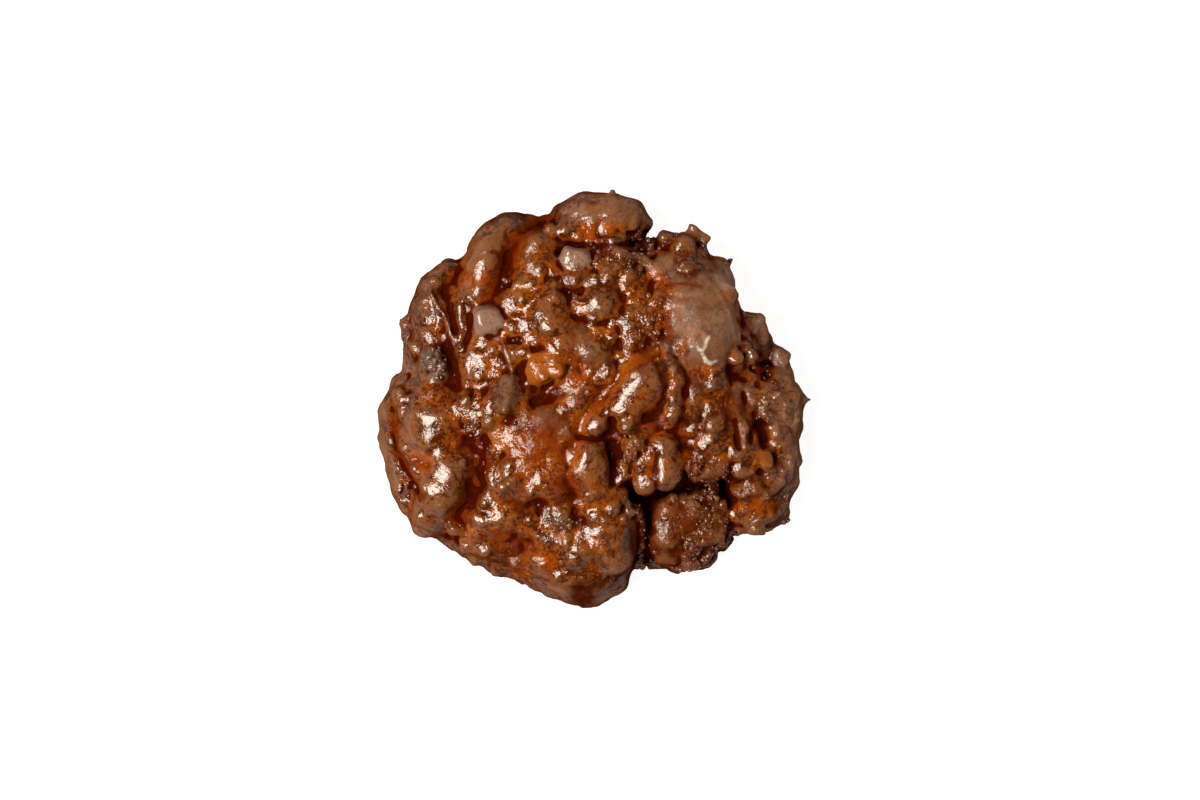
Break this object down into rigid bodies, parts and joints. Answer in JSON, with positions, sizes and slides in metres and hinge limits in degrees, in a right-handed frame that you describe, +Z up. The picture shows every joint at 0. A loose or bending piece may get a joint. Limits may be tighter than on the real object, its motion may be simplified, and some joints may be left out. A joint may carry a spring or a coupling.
{
  "type": "apple fritter",
  "caption": "Round, lumpy fried apple fritter with glazed, craggy crust and bits of fruit, flat underneath.",
  "frame": {"origin": "on the table, under the middle of the fritter's box", "axes": "+Z up; +Y towards the crown lobe, which is the top of the picture; +X towards the side with the thorn of set glaze, the picture's right"},
  "size_m": [0.125, 0.1202, 0.0383],
  "materials": {
    "glazed_crust": "dark caramel brown fried dough under a clear, wet sugar glaze, amber where fruit shows, nearly black in the creases"
  },
  "bodies": {
    "root": {"fritter": "glazed_crust"}
  },
  "joints": []
}
